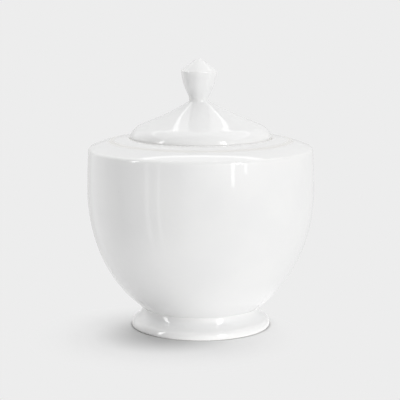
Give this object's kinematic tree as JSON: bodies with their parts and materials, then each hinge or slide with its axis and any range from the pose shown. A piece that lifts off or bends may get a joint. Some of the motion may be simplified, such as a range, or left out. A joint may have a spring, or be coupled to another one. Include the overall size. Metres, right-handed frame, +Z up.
{
  "type": "sugar bowl",
  "caption": "Round covered sugar bowl in white glazed china: deep belly on a low moulded foot, sloping shoulder, and a lift-off lid with a pointed knob.",
  "frame": {"origin": "centre of the circle the foot stands on, at table height", "axes": "+Z up along the axis of the bowl, lid and knob; +X and +Y are free, because every piece is round"},
  "size_m": [0.105, 0.105, 0.125],
  "materials": {
    "china_glaze": "clear gloss glaze over white bone china"
  },
  "bodies": {
    "bowl_body": {"bowl": "china_glaze", "foot_ring": "china_glaze"},
    "lid_body": {"lid": "china_glaze", "lid_knob": "china_glaze"}
  },
  "joints": [
    {"name": "lid_lift", "type": "slide", "parent": "bowl_body", "child": "lid_body", "axis": [0, 0, 1], "range_m": [0, 0.08]}
  ]
}
